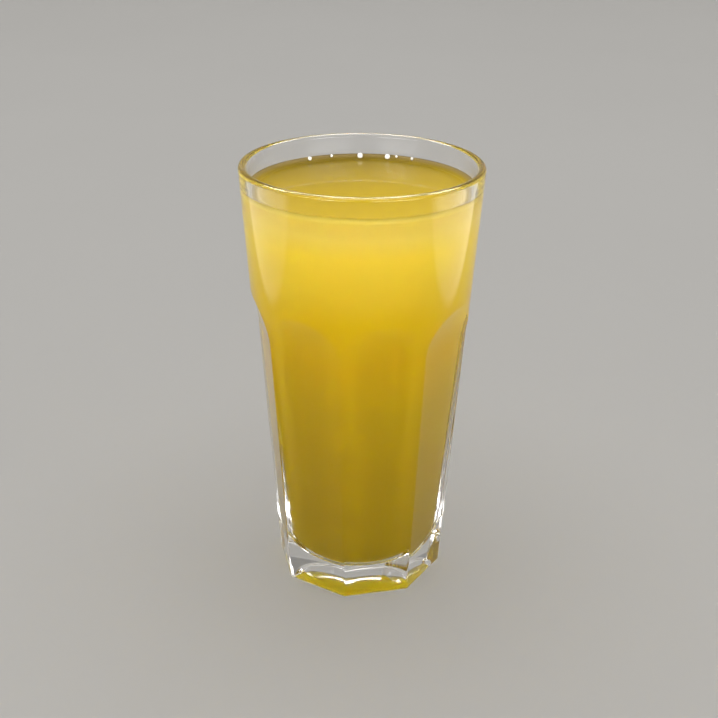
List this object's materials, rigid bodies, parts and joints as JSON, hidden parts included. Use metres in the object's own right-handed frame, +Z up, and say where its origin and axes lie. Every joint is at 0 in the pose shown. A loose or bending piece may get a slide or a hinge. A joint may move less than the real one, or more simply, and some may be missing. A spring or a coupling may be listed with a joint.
{
  "type": "glass of lemonade",
  "caption": "Tall faceted glass tumbler with a round rim and a thick foot, filled almost to the brim with cloudy yellow lemonade.",
  "frame": {"origin": "middle of the foot, on the surface that the glass stands on", "axes": "+Z up along the axis of the glass; flat panels face +X, -X, +Y and -Y"},
  "size_m": [0.084, 0.084, 0.1555],
  "materials": {
    "glass": "clear pressed glass, polished, with faint waviness",
    "lemonade": "cloudy yellow liquid, glossy on top, paler near the surface and deeper towards the foot"
  },
  "bodies": {
    "root": {"tumbler": "glass", "lemonade": "lemonade"}
  },
  "joints": []
}
